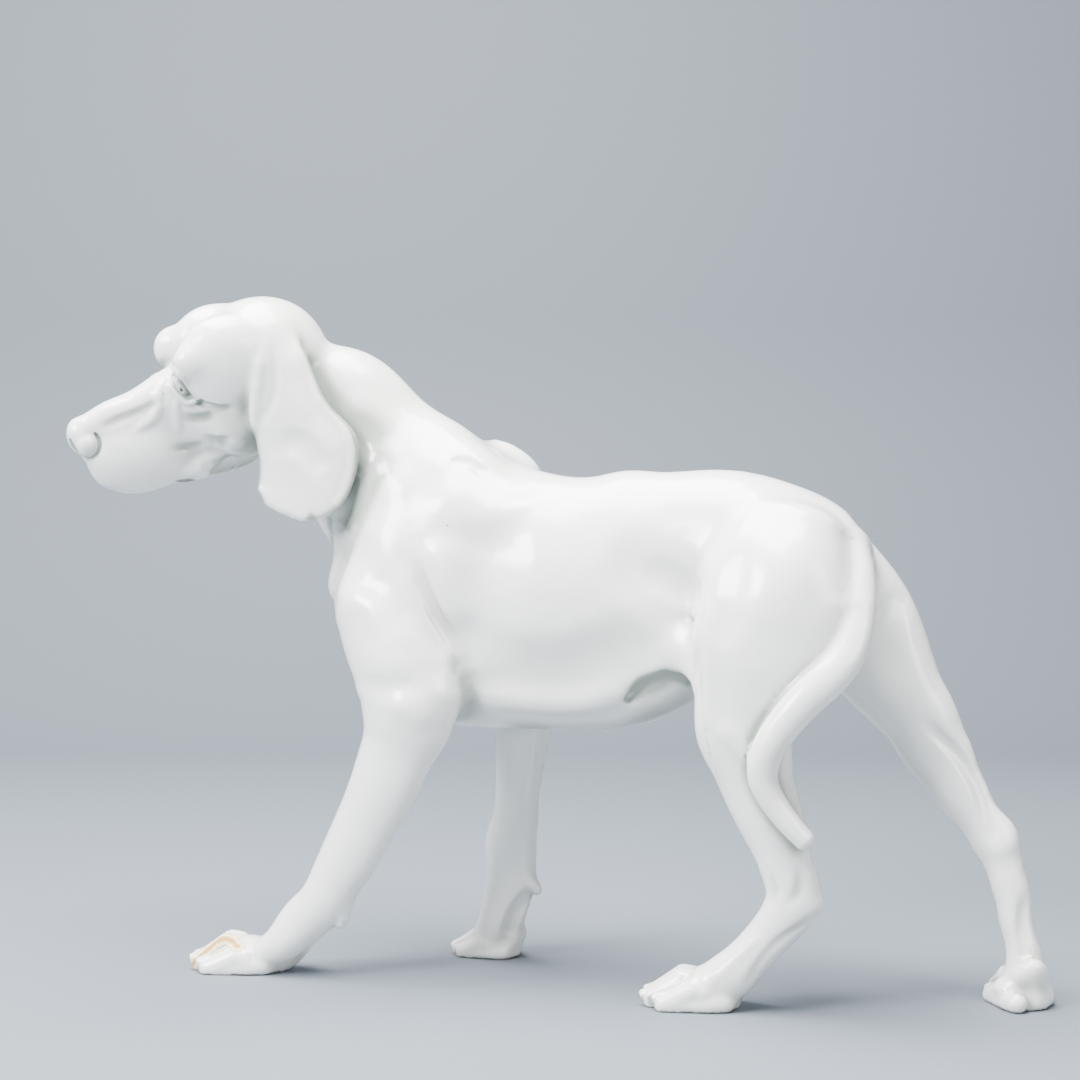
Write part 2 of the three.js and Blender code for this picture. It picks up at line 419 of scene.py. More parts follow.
def refined(verts, tris, flagged):
    # splits the flagged triangles in four and joins them neatly to their neighbours
    keys = edgeKeys(tris, len(verts))
    unique, where = np.unique(keys, return_inverse=True)
    where = where.reshape(keys.shape)
    split = np.zeros(len(unique), bool)
    split[where[flagged].ravel()] = True
    middle = np.full(len(unique), -1)
    middle[split] = len(verts) + np.arange(split.sum())
    ends = unique[split]
    fresh = (verts[ends // len(verts)] + verts[ends % len(verts)]) / 2
    cuts = split[where]
    m = middle[where]
    number = cuts.sum(1)
    out = [tris[number == 0]]

    def add(chosen, corners, middles, *triangles):
        # 0, 1 and 2 are a triangle's own corners, 3, 4 and 5 the middles of its edges
        six = np.concatenate([corners[chosen], middles[chosen]], axis=1)
        out.extend(six[:, triangle] for triangle in triangles)

    for turn in range(3):
        t, c, w = (np.roll(rows, -turn, axis=1) for rows in (tris, cuts, m))
        add((number == 1) & c[:, 0], t, w, [0, 3, 2], [3, 1, 2])
        add((number == 2) & c[:, 0] & c[:, 1], t, w, [3, 1, 4], [0, 3, 4], [0, 4, 2])
    add(number == 3, tris, m, [0, 3, 5], [3, 1, 4], [5, 4, 2], [3, 4, 5])
    return np.concatenate([verts, fresh]), np.concatenate(out)


def cornerNormals(verts, tris):
    face = np.cross(verts[tris[:, 1]] - verts[tris[:, 0]], verts[tris[:, 2]] - verts[tris[:, 0]])
    sums = [sum(np.bincount(tris[:, i], face[:, k], len(verts)) for i in range(3)) for k in range(3)]
    total = np.stack(sums, 1)
    return total / lengths(total)[:, None]


dog = {
    # The dog is shaped in millimetres, as it stands, with the spine over y = 0 and the soles on z = 0.
    # It looks along -x and its left side faces -y. The last step moves it to the frame's origin.
    "stance": {
        "shift": (-14.2, 20.3, 0.0),
        "cell": 5.2,             # size of the first skin's quads
        "low": (-430, -150, -6),
        "high": (430, 130, 600),
        "nearForm": 3,           # skin this near a detailed form is split finer
        "nearFine": 12,
        "narrow": 12,            # and so is a modelling line narrower than this
        "outside": 150,          # lines are drawn on the skin from this far to its side
    },
    # Swept forms. Each station: centre x, y, z, half width to the side, reach to the back or top,
    # reach to the front or bottom. Where the last ones are the same, the number stands once.
    "trunk": {
        "torso": {"blend": 20, "stations": [
            (-178, 0, 331, 27, 30), (-159, 0, 323, 45, 60, 63), (-128, 0, 320, 57, 85, 95),
            (-90, 0, 322, 62, 98, 114), (-40, 0, 318, 64, 102, 114), (10, 0, 315, 64, 96, 110),
            (50, 0, 316, 61, 96, 108), (85, 0, 322, 57, 96, 100), (120, 0, 332, 52, 87, 84),
            (160, 0, 345, 51, 73, 78), (200, 0, 349, 50, 55, 68), (228, 0, 346, 42, 41, 54),
            (244, 0, 342, 30, 28, 40)]},
        "neck": {"blend": 24, "stations": [
            (-228, -26, 490, 36, 44, 42), (-212, -17, 474, 39, 60, 48), (-192, -9, 454, 42, 69, 56),
            (-166, -2, 426, 45, 70, 65), (-134, 0, 396, 51, 77, 74), (-95, 0, 368, 53, 76, 74)]},
    },
    "foreLegs": {
        "leftShoulder": {"blend": 40, "ends": (1.0, 0.8), "stations": [
            (-60, -24, 420, 8, 22, 18), (-80, -37, 392, 15, 36, 28), (-108, -46, 350, 20, 44, 36),
            (-130, -49, 308, 25, 44, 36)]},
        "leftUpperArm": {"blend": 32, "ends": (0.8, 0.8), "stations": [
            (-140, -48, 298, 25, 34, 27), (-123, -54, 268, 28, 46, 34), (-104, -57, 240, 28, 42, 38),
            (-106, -57, 215, 25, 34)]},
        "leftForearm": {"blend": 18, "ends": (0.6, 1.2), "stations": [
            (-102, -57, 236, 27, 41, 42), (-106, -58, 206, 24, 35, 33), (-113, -59, 190, 22, 32, 30),
            (-123, -60, 165, 20, 30, 28), (-140, -60, 131, 18, 27, 25), (-158, -60, 98, 17.5, 25, 23),
            (-168, -60, 81, 17.5, 23, 21), (-178, -60, 64, 18, 22, 20), (-194, -59, 45, 18, 18, 22),
            (-214, -58, 26, 18.5, 15, 18), (-236, -56, 16, 15, 12.5, 11)]},
        "rightShoulder": {"blend": 26, "ends": (1.0, 0.8), "stations": [
            (-44, 27, 426, 9, 24), (-62, 41, 396, 17, 31, 30), (-88, 49, 350, 23, 41, 38),
            (-112, 51, 308, 26, 40, 38)]},
        "rightUpperArm": {"blend": 24, "ends": (0.8, 0.8), "stations": [
            (-112, 48, 300, 25, 34), (-80, 52, 268, 27, 40, 38), (-48, 54, 238, 25, 32),
            (-44, 54, 215, 23, 27)]},
        "rightForearm": {"blend": 16, "ends": (0.6, 0.5), "stations": [
            (-41, 54, 226, 24, 27), (-47, 55, 188, 20, 23), (-51, 57, 154, 17, 20),
            (-54, 58, 137, 16, 20, 18), (-56, 59, 119, 16, 21.5, 19), (-59, 60, 102, 17, 22.5, 22),
            (-59, 61, 85, 17, 22, 23), (-61, 61, 66, 17, 22.5, 20), (-66, 62, 48, 17, 22, 19),
            (-72, 64, 32, 18, 20, 17), (-80, 68, 20, 19, 14)]},
    },
    "hindLegs": {
        "leftHind": {"blend": 20, "ends": (0.6, 0.5), "stations": [
            (214, -30, 372, 26, 34, 44), (206, -44, 338, 34, 52, 62), (198, -52, 304, 35, 60, 66),
            (190, -55, 270, 33, 56, 58), (182, -55, 240, 29, 46), (178, -55, 215, 25, 37, 41),
            (181, -54, 194, 22, 32, 34), (186, -53, 172, 20, 29, 28), (196, -53, 149, 18, 26),
            (203, -53, 130, 16, 23), (209, -53, 110, 15, 21, 20.5), (214, -53, 94, 15, 21, 22.5),
            (205, -53, 75, 15, 20, 18), (192, -53, 57, 14, 17), (177, -53, 40, 15, 17),
            (158, -53, 26, 17, 20, 16), (144, -53, 20, 18, 14, 13)]},
        "rightHind": {"blend": 20, "ends": (0.6, 0.5), "stations": [
            (206, 28, 366, 26, 34, 44), (222, 42, 330, 34, 43, 58), (240, 46, 300, 34, 46, 54),
            (258, 47, 270, 30, 42, 46), (281, 46, 234, 24, 33), (292, 46, 219, 21, 30),
            (300, 46, 203, 19, 28), (309, 47, 188, 18, 26), (318, 47, 172, 17, 22.5),
            (328, 47, 157, 16, 20), (339, 47, 142, 14, 17), (349, 47, 127, 14, 20, 18),
            (356, 47, 112, 13, 15.5), (361, 46, 96, 13, 14.5), (365, 46, 81, 13, 14),
            (367, 45, 66, 12.5, 13), (371, 44, 51, 12, 12.5), (374, 44, 36, 13, 14),
            (372, 46, 24, 15, 13)]},
    },
    # Skin under the belly: a cord of x, y, z, radius, and the flaps that join the flanks to the thighs
    "sheath": [(48, 0, 214, 8), (80, 0, 226, 7.5), (112, 0, 241, 6), (142, -2, 256, 6)],
    "foldRecess": [(76, -36, 236, 3.5), (91, -41, 245, 5.5), (110, -44, 250, 8.5), (134, -47, 245, 8)],
    "flaps": {
        "left": {"blend": 9, "ends": (1.4, 0.8), "stations": [
            (66, -36, 266, 8, 18, 16), (90, -40, 270, 8, 20), (112, -43, 277, 8, 22, 20),
            (128, -46, 277, 9, 24, 20), (142, -50, 270, 10, 26, 21), (152, -54, 262, 12, 26, 24)]},
        "right": {"blend": 9, "ends": (1.4, 0.8), "stations": [
            (70, 36, 266, 8, 18, 16), (100, 39, 272, 8, 20), (130, 42, 282, 8, 22, 20),
            (156, 44, 286, 9, 24, 20), (182, 46, 282, 10, 26, 21), (204, 48, 276, 12, 26, 24)]},
    },
    "tails": {
        "root": {"blend": 18, "ends": (1.0, 0.8), "stations": [
            (214, 2, 376, 12), (235, -6, 367, 13), (250, -19, 350, 13), (258, -34, 330, 13),
            (260, -46, 312, 12.5)]},
        "hanging": {"blend": 7, "ends": (0.8, 0.9), "stations": [
            (234, -6, 366, 9), (250, -21, 349, 12, 12.5), (257.5, -36, 330, 12, 13.5),
            (260, -49, 310, 11.5, 14.5), (258, -61, 286, 11.5, 15), (249, -72, 266, 11.5, 15),
            (231, -80, 247, 12, 14.5), (214, -83, 227, 12, 13.5), (201, -84, 206, 12, 12.5),
            (197, -82, 184, 11, 11.5), (204, -80, 167, 9.5, 10), (215, -78, 152, 9), (227, -76, 139, 8)]},
    },
    # Paws: middle of the sole, where the toes face in degrees, size, then in the paw's own frame, with x
    # toward the toes: the heel, how far the outer toes drop, how far the rear ones are set back.
    "paws": {
        "leftFore": {"at": (-257, -53), "faces": 191, "size": 0.97, "heel": (-41, -2, 18), "outer": -8},
        "rightFore": {"at": (-83, 70), "faces": 178, "size": 0.76, "heel": (-20, 0, 14), "outer": -4},
        "leftHind": {"at": (135, -48), "faces": 190, "size": 0.96, "heel": (-22, 0, 17), "outer": -5},
        "rightHind": {"at": (370, 49), "faces": 120, "size": 0.88, "heel": (-14, 0, 22), "outer": -6,
                      "back": 11},
    },
    # how softly these join the body
    "blends": {"foldRecess": 7, "sheath": 6, "carpalPads": 6, "hocks": 12},
    "pawShape": {
        "blends": {"heel": 10, "body": 12, "toePad": 7, "backToe": 5, "frontToe": 2.2, "nail": 1.2},
        "heel": {"radii": (31, 18, 14.5), "turn": (0, 42, 0)},
        "body": {"centre": (-5, 0, 6), "radii": (31, 24, 21)},
        "bridge": {"centre": (-6, 0, 16), "radii": (24, 17, 11)},
        # each toe: how far out to the side, how far forward, how far it fans out
        "toes": [(-18, -11, -0.08), (-6.4, 0, -0.03), (6.4, 0, 0.03), (18, -11, 0.08)],
        "halfSpan": 18,
        "knuckle": 22,           # height
        # a toe from its root to its tip, and the pad under it: forward, height, radius
        "toeLine": [(-5, 15.5, 9), (3, 21, 10), (10, 22, 10), (25, 12.5, 9), (34, 8, 7.8)],
        "toePad": [(-13, 8, 9), (-2, 6.5, 10), (20, 5, 8.5), (33, 4.5, 8)],
        "nail": [(35, 11, 4.8), (41, 9.5, 4.4), (44.5, 7, 3.4)],
    },
    "hocks": [(227, -53, 88), (356, 42, 124)],
    "hockRadii": (9, 8, 9),
    "carpalPads": {
        "left": [(-160, -60, 60, 7), (-161, -60, 52, 6), (-163, -60, 46.5, 4.6)],
        "right": [(-48, 59, 74, 8), (-39.5, 59, 64, 6.5), (-36.5, 60, 61, 5.4)],
    },
    # The head has its own frame: x toward the nose, y to the dog's left, z to the crown.
    "head": {
        "at": (-250, -40, 490),
        "turn": (218, 10, -16),   # faces left and a little down, tilted toward its left side
        # how softly each part joins the rest
        "blends": {
            "cranium": 14, "muzzle": 12, "frontal": 12, "leftBrow": 10, "rightBrow": 10, "temple": 10,
            "cheek": 14, "flew": 10, "jaw": 8, "nosePad": 5, "noseWing": 2, "jawHollow": 5, "rightEar": 9,
            "leftEar": 9, "earRim": 3, "earFold": 7, "socket": 3, "eyeball": 1.2, "upperLid": 1.5,
            "lowerLid": 2, "pupil": 0.6, "wingCrease": 1.2, "nostril": 1.2},
        "cranium": {"centre": (-8, 0, 21), "radii": (55, 46, 49)},
        "frontal": {"centre": (27, 20, 33), "radii": (37, 24, 32), "turn": (-6, 14, 0)},
        "leftBrow": {"centre": (53, 27, 31), "radii": (17, 13, 16)},
        "rightBrow": {"centre": (57.5, -27, 31.5), "radii": (17.5, 13, 19)},
        "temple": {"centre": (26, 29, 16), "radii": (36, 17, 34), "turn": (-8, 28, 0)},
        "cheek": {"centre": (8, 25, -24), "radii": (38, 20, 34)},
        "flew": {"centre": (104, 11, -46), "radii": (42, 13.5, 29)},
        "muzzle": [
            (-40, 0, 8, 40, 34, 40), (0, 0, 4, 42, 40, 44), (36, 0, -4, 36, 36, 46),
            (64, 0, -10, 25, 32, 44), (80, 0, -16, 20, 31, 42), (98, 0, -22, 18, 30, 36),
            (128, 0, -26, 15, 27, 26), (144, 0, -26, 12.5, 20.5, 18)],
        "jaw": [
            (112, 0, -60, 10), (88, 0, -62, 15, 12), (55, 0, -60, 23, 14, 18), (22, 0, -54, 30, 16, 22)],
        "nosePad": {"centre": (147, 0, -22), "radii": (12, 13.5, 16), "turn": (0, 8, 0)},
        "noseWing": {"centre": (144.5, 8.5, -27), "radii": (9.5, 8.5, 10.5), "turn": (14, 10, 0)},
        "wingCrease": [
            (140, 10, -14, 1.0), (135.5, 14, -22, 1.5), (136.5, 16, -31, 1.6), (143, 15, -37.5, 1.5),
            (150, 9, -39, 1.1)],
        "nostril": [(152, 9, -33, 1.8), (156, 7.5, -27, 2.6), (157, 6.5, -22, 1.8)],
        "jawHollow": [
            (44, 18, -68, 5), (32, 20, -64, 8.5), (16, 24, -59, 11), (2, 30, -56, 12), (-14, 36, -54, 11)],
        "farEyeShift": (-19, -13),
        # the rows from here on give their depth from the face's own skin, outward, as their second number
        "socket": [
            (68.5, 0, 20.5, 2.2), (67, -1, 17.5, 4.2), (63.5, -1, 12.5, 5.2), (59, -1, 5, 4.8),
            (53, -0.5, -1, 3.8), (45, 0.6, -5.5, 2.8), (37, 1.4, -7.5, 2.0)],
        "eyeball": [(64, -8.5, 16, 6.4), (62, -8.5, 9, 6.4)],
        "pupil": [(65, -1.8, 14.5, 2.0), (64.5, -1.8, 9.5, 2.0)],
        "upperLid": [
            (70, -2.6, 30, 1.8), (66.5, -1.6, 27, 2.6), (63, -1.6, 22, 2.7), (60.5, -2.4, 16, 2.4),
            (57.5, -3, 9, 2.0), (53, -3, 3, 1.8)],
        "lowerLid": [
            (73.5, -1.8, 17, 1.2), (71, -1.0, 11, 2.0), (66, -1.0, 3, 2.6), (60, -1.4, -1, 3.2),
            (56, -2.0, 1, 2.2)],
        # an ear from root to tip, with its reach to the front, then to the rear;
        # the last number turns the rear outward
        "leftEar": [
            (-18, 27, 48, 5, 6, 9, 5), (-16, 35, 38, 6, 10, 16, 8), (-15, 43.5, 26, 6.5, 17, 21, 12),
            (-14, 51, 8, 6, 24, 25.5, 16), (-14, 58, -10, 5.5, 30, 30, 20), (-14, 62, -22, 5.2, 31, 37, 22),
            (-14, 66, -34, 5.2, 31.5, 45, 24), (-14, 70, -46, 5.2, 32, 49, 26),
            (-13, 74, -61, 5.2, 33, 47, 27), (-10, 77, -75, 5.2, 33.5, 40, 28),
            (-6, 79, -85, 5.2, 32, 30, 28), (-2, 80, -92, 5, 26, 16, 28)],
        "rightEar": [
            (-16, -38, 42, 7, 6, 14, -5), (-14, -42, 34, 7, 10, 19, -6), (-16, -47, 20, 6.5, 18, 24, -8),
            (-18, -50, 4, 6, 22, 28, -10), (-21, -52, -12, 5.5, 25, 30, -12),
            (-26, -52, -30, 5, 28, 34, -14), (-32, -51, -44, 5, 29, 38, -16),
            (-38, -50, -56, 5, 28, 34, -16), (-42, -49, -66, 5, 24, 26, -16),
            (-44, -48, -76, 5, 15, 14, -16)],
        # how far to its side lines are drawn on the face and the ear, and how far they lift off the ear
        "eyeOutside": 70,
        "outside": 110,
        "earOutside": 130,
        "earLift": 3,
        "earRim": {"from": 0.18, "to": 0.9, "inset": 4.2, "radius": 4.3},
        "earFold": [
            (-4, 40, 40, 2.4), (3, 45, 26, 4.2), (8, 48, 8, 5.0), (12, 50, -8, 4.4), (16, 52, -26, 2.0)],
    },
    # Modelling drawn on the skin from the side: reach, lift (below zero sinks), then x and z of the line.
    "faceLines": {
        "bag under the eye": (6, -4.0, [(66, -14), (58, -15.5), (51, -15), (44, -12)]),
        "fold behind the eye": (4.5, -3.2, [(48, -3), (40, -6.5), (30, -7)]),
        "cheek ridge": (5, 2.8, [(80, 16), (84, 4), (88, -10), (97, -15), (106, -19)]),
        "second cheek ridge": (4.5, 2.2, [(71, 1), (71, -13), (71, -24)]),
        "upper mouth fold": (5, -3.0, [(50, -33), (42, -35), (34, -34)]),
        "mouth fold": (5, -3.4, [(78, -39), (66, -40.5), (53, -39)]),
        "lower mouth fold": (4.5, -2.6, [(45, -38), (37, -41)]),
        "under the jaw": (9, -4.0, [(50, -60), (42, -59), (34, -57)]),
        "lip slit": (3.5, -2.4, [(80, -70), (70, -71), (62, -68)]),
        "bridge edge": (5, -2.4, [(80, 4), (97, -4), (114, -8), (131, -13)]),
    },
    "earLines": {
        "front crease": (6, -3.6, [(-9, 36), (-6, 16), (-1, 0), (8, -16)]),
        "rear crease": (5, -1.6, [(-28, 24), (-30, 8), (-31, -8), (-33, -20)]),
        "hollow": (15, -4.5, [(-2, -36), (-14, -36), (-22, -46), (-28, -60)]),
    },
    # left side of the body, and the right side where it differs
    "leftLines": {
        "shoulder blade crest": (7, -1.6, [(-67, 423), (-58, 422), (-49, 416)]),
        "shoulder blade swell": (34, 4, [(-60, 388), (-30, 386)]),
        "shoulder blade edge": (14, 0.8, [(-40, 378), (-16, 388), (14, 397)]),
        "neck and shoulder groove": (22, -1.2, [(-88, 404), (-96, 380), (-100, 345)]),
        "neck ridge": (24, 2.0, [(-152, 462), (-138, 437), (-118, 405)]),
        "throat fold": (10, -8, [(-155, 412), (-163, 393), (-172, 372)]),
        "upper arm hollow": (18, -1.4, [(-121, 322), (-112, 310), (-104, 299)]),
        "triceps groove": (8, -5, [(-90, 338), (-83, 318), (-73, 297), (-60, 277)]),
        "triceps": (24, 4, [(-67, 346), (-64, 330), (-59, 308)]),
        "behind the triceps": (38, -4, [(-30, 350), (-33, 325), (-36, 290)]),
        "point of the shoulder": (36, 2.6, [(-108, 296), (-106, 270)]),
        "upper arm front": (24, -2, [(-140, 345), (-132, 330)]),
        "forearm band": (14, -2.6, [(-134, 244), (-106, 243), (-84, 247)]),
        "forearm swell": (18, 2.5, [(-96, 226), (-84, 222)]),
        "flank hollow": (40, -5, [(94, 336), (116, 325), (132, 314)]),
        "flank dimple": (18, -5, [(106, 334), (120, 326), (131, 319)]),
        "lower flank": (36, -7, [(-40, 266), (-14, 258), (25, 256), (62, 268), (104, 284)]),
        "belly roll": (18, 5, [(-50, 232), (-12, 232), (37, 232), (76, 244)]),
        "thigh front crease": (8, -2.2, [(144, 324), (144, 300), (143.5, 275), (141, 252)]),
        "thigh front ridge": (10, 1.4, [(154, 317), (155, 279), (153, 248), (153, 215)]),
        "thigh groove": (20, -2.0, [(175, 354), (172, 309), (161, 284)]),
        "hip swell": (38, 2.4, [(212, 345), (203, 318)]),
        "stifle": (13, 2.4, [(171, 217), (183, 202)]),
        "back line": (9, -1.2, [(-31, 384), (-13, 392), (9, 399)]),
        "right pad groove": (10, -7, [(-40, 58), (-50, 43), (-60, 20)]),
        "right shin groove": (7.5, -4.5, [
            (302, 217), (314, 204), (325, 192), (334, 177), (342, 160), (348, 143), (354, 126)]),
        "right heel groove": (7, -4, [(374, 83), (374, 58), (377, 39)]),
        "right thigh hollow": (16, -4, [(275, 322), (273, 283), (278, 250)]),
        "hock front crease": (5, -1.8, [(200, 86), (202, 100), (198, 109)]),
        "metatarsal ridge": (6, 1.6, [(189, 61), (170, 42), (153, 25)]),
        "plantar groove": (5, -1.8, [(231, 79), (206, 60), (180, 25)]),
        "Achilles groove": (6, -2.4, [(213, 88), (220, 97), (221, 114)]),
    },
    "rightLines": {
        "shoulder blade swell": (34, 4, [(-50, 396), (-38, 390)]),
        "neck and shoulder groove": (12, -2.6, [(-78, 408), (-80, 380), (-80, 352)]),
        "triceps groove": (9, -5, [(-76, 340), (-66, 318), (-54, 296), (-44, 280)]),
        "triceps": (24, 4, [(-48, 350), (-44, 325)]),
        "behind the triceps": (26, -3.5, [(-12, 352), (-14, 320), (-16, 290)]),
        "point of the shoulder": (28, 5, [(-84, 293), (-92, 273)]),
        "elbow crease": (6, -2.5, [(-20, 262), (-26, 244), (-24, 228)]),
        "flank hollow": (38, -6, [(92, 350), (118, 338), (140, 324)]),
        "lower flank": (27, -6, [(-30, 272), (-10, 262), (25, 260), (62, 272), (108, 288)]),
        "belly roll": (18, 4, [(-40, 232), (-12, 232), (37, 232), (76, 244)]),
        "thigh groove": (13, -2.4, [(205, 350), (212, 309), (216, 284)]),
        "hip swell": (30, 3, [(235, 345), (240, 310)]),
    },
    # Marks in the glaze, and lines of painted shade. Reach, then x and z of the line, drawn on the skin
    # from the left side.
    "marks": {
        "torn": [(8, [(-294, 3), (-288, 9), (-280, 17), (-271, 25)]),
                 (9, [(-271, 25), (-262, 28), (-250, 23)])],
        "stain": [(2.2, [(147, 243), (149, 228), (151, 212), (154, 196)]),
                  (1.6, [(144, 262), (146, 250), (147, 238)])],
        "scuff": [(1.0, [(-79, 186), (-76, 176), (-80, 166)]), (0.9, [(-83, 180), (-82, 170)])],
        # painted shade where shade falls: under the belly, in the flank fold, at the throat, by the jaw
        "shadeLines": [(24, [(-19, 207), (10, 206), (47, 207), (69, 211), (82, 216), (94, 221.5),
                       (106, 226.5), (117, 232)]),
                 (8, [(84, 246), (90, 250), (101, 254.5), (111, 257), (118, 255), (124, 250)]),
                 (7, [(-148, 404), (-151, 392), (-156.5, 381), (-163, 371)]),
                 (5, [(-185, 379), (-184, 372), (-185, 364), (-188, 352)]),
                 (5, [(-272, 422), (-265, 424), (-258, 426)])],
    },
    # painted shade in the hollows and creases, found from the skin's shape
    "hollows": {
        "probes": [(3, 0.5), (9, 0.5), (22, 0.3)],      # how far out the skin is looked for, weight
        "narrow": 6.5,           # creases narrower than this are darkened
        "fold": (16, -4),        # reach and depth of the shade in the flank fold
        "shade": 0.16,           # for each millimetre of a crease's depth, down to the deepest
        "deepest": 4,
        "open": 1.02,            # over 1, so that level skin is a little shaded too
    },
    "glaze": {
        "white": (0.88, 0.885, 0.865, 1),
        "paintedShade": (0.33, 0.37, 0.325, 1),      # painted shade in the hollows and creases
        "warm": (0.87, 0.855, 0.80, 1),
        "clay": (0.90, 0.74, 0.46, 1),
        "clayShade": (0.52, 0.31, 0.11, 1),
        "stain": (0.66, 0.60, 0.42, 1),
        # dark colour for the scuffs and pinholes, and painted shadow in the slit between the lips
        "dirtAndShadow": (0.12, 0.11, 0.10, 1),
        "soleEdge": (0.46, 0.43, 0.36, 1),
        "roughness": 0.34,
        "clayRoughness": 0.8,
        "coat": 0.8,
        "coatRoughness": 0.1,
        "shares": {"shadeLines": 0.6, "cloud": 0.1, "torn": 0.7, "core": 0.9},      # how much is added to a mask
        "pinholeScale": 33.0,
        "slitAt": (-0.3115, -0.0500, 0.4072),      # the painted shadow of the slit between the lips, in metres
        "slitTurn": (0, 0, math.radians(52)),
        "slitSize": (0.0115, 0.010, 0.0022),
        "waveDepth": 0.0012,      # metres
        "peelDepth": 0.00008,
        "tearDepth": 0.0012,
        "pinholeDepth": 0.0006,
        # scale per metre, detail, roughness
        "noises": {"cloud": (9, 3, 0.5), "grain": (420, 3, 0.7), "wave": (26, 2, 0.5),
                   "torn": (260, 3, 0.6), "core": (190, 4, 0.7), "tear": (240, 4, 0.7),
                   "stain": (160, 3, 0.5), "scuff": (300, 3, 0.5), "chip": (130, 4, 0.6)},
        # the values at which each mask begins and is full
        "edges": {"cloud": (0.35, 0.75), "hollow": (0.1, 0.75), "torn": (0.62, 0.72), "core": (1.12, 1.3),
                  "stain": (0.1, 0.5), "scuff": (0.2, 0.4), "pinhole": (0.012, 0.024), "slit": (0.02, 0.4),
                  "sole": (0.0012, 0.0045), "chip": (0.42, 0.52)},
    },
}

stance = dog["stance"]
glaze = dog["glaze"]
pawShape = dog["pawShape"]
head = dog["head"]
headPlace = Place(head["at"], *head["turn"])


def swept(rows, detail=0):
    return Sweep(rows["stations"], rows["blend"], ends=rows.get("ends", (0.6, 0.6)), detail=detail)


def headForms():
    forms = []
    blends = head["blends"]

    def eggs(name, sides=(1, -1), detail=1):
        part = head[name]
        for side in sides:
            centre = np.array(part["centre"]) * (1, side, 1)
            turn = np.array(part.get("turn", (0, 0, 0))) * (side, 1, side)
            forms.append(Ball(centre, part["radii"], blends[name], turn, headPlace, detail))

    def sweep(name, ends=(0.6, 0.6), square=2.0):
        made = Sweep(head[name], blends[name], ends, square, headPlace, detail=1)
        forms.append(made)
        return made

    def cordPair(name, **extra):
        for side in (1, -1):
            rows = np.array(head[name]) * (1, side, 1, 1)
            forms.append(Cord(rows, blends[name], place=headPlace, detail=1, **extra))

    eggs("cranium", sides=(1,))
    sweep("muzzle", square=3.0)
    eggs("frontal")
    for name in ("leftBrow", "rightBrow"):
        eggs(name, sides=(1,))
    for name in ("temple", "cheek", "flew"):
        eggs(name)
    sweep("jaw", ends=(0.7, 0.7))
    eggs("nosePad", sides=(1,), detail=2)
    eggs("noseWing", detail=2)
    cordPair("jawHollow", cut=True)
    for name in ("rightEar", "leftEar"):
        ear = sweep(name, ends=(0.8, 0.9), square=3.4)
    # a rounded rim along the rear edge of the left ear
    rim = head["earRim"]
    t = np.linspace(rim["from"], rim["to"], 24) * ear.knots[-1]
    middle, _, _, crest = ear.frame(t)
    rear = middle[:, :3] - crest * (middle[:, 5:6] - rim["inset"])
    rows = np.column_stack([rear, np.full(len(t), rim["radius"])])
    forms.append(Cord(rows, blends["earRim"], detail=2))
    cordPair("earFold")
    return forms


def faceForms(bare):
    # the eyes and the nostrils, laid on the bare face
    forms = []

    def carve(name, rows, cut):
        rows = smoothLine(rows, 3)
        forms.append(Cord(rows, head["blends"][name], headPlace, cut, fine=True))

    for name in ("socket", "eyeball", "upperLid", "lowerLid", "pupil"):
        for side in (1, -1):
            rows = np.array(head[name], float)
            if side < 0:
                rows[:, [0, 2]] += head["farEyeShift"]
            spots = onSkin(bare, headPlace, rows[:, [0, 2]], head["eyeOutside"] * side)
            rows[:, 1] = spots[:, 1] + rows[:, 1] * side
            # leaves out what would land across the middle
            carve(name, rows[spots[:, 1] * side > 4], name in ("socket", "pupil"))
    for side in (1, -1):
        for name in ("wingCrease", "nostril"):
            carve(name, np.array(head[name]) * (1, side, 1, 1), True)
    return forms


def pawForms(paw):
    place = Place((*paw["at"], 0), paw["faces"], size=paw["size"])
    blends = pawShape["blends"]
    heel = pawShape["heel"]
    forms = [Ball(paw["heel"], heel["radii"], blends["heel"], heel["turn"], place, detail=1)]
    for name in ("body", "bridge"):
        part = pawShape[name]
        forms.append(Ball(part["centre"], part["radii"], blends["body"], place=place, detail=1))
    for y, forward, fan in pawShape["toes"]:
        lift = paw["outer"] / pawShape["knuckle"] if forward else 0
        forward -= paw.get("back", 0) * y / pawShape["halfSpan"] if forward else 0

        def placed(rows, lift=0):
            return [(x + forward, y + fan * x, z * (1 + lift), r) for x, z, r in rows]

        forms.append(Cord(placed(pawShape["toePad"]), blends["toePad"], place, detail=1))
        # a toe set back from the foremost ones starts further from its root
        line = pawShape["toeLine"][1 if forward else 0:]
        toe = "backToe" if forward else "frontToe"
        forms.append(Cord(placed(line, lift), blends[toe], place, detail=2))
        forms.append(Cord(placed(pawShape["nail"]), blends["nail"], place, detail=2))
    return forms


forms = [swept(part) for name in ("trunk", "foreLegs", "hindLegs") for part in dog[name].values()]
forms += [swept(part, detail=2) for part in dog["tails"].values()]
forms += [swept(part, detail=1) for part in dog["flaps"].values()]
forms.append(Cord(dog["foldRecess"], dog["blends"]["foldRecess"], cut=True, detail=1))
forms.append(Cord(dog["sheath"], dog["blends"]["sheath"], detail=1))
for paw in dog["paws"].values():
    forms += pawForms(paw)
forms += [Cord(rows, dog["blends"]["carpalPads"], detail=2) for rows in dog["carpalPads"].values()]
forms += [Ball(at, dog["hockRadii"], dog["blends"]["hocks"], detail=1) for at in dog["hocks"]]
bodyForms = list(forms)
forms += headForms()
report("forms:", len(forms))


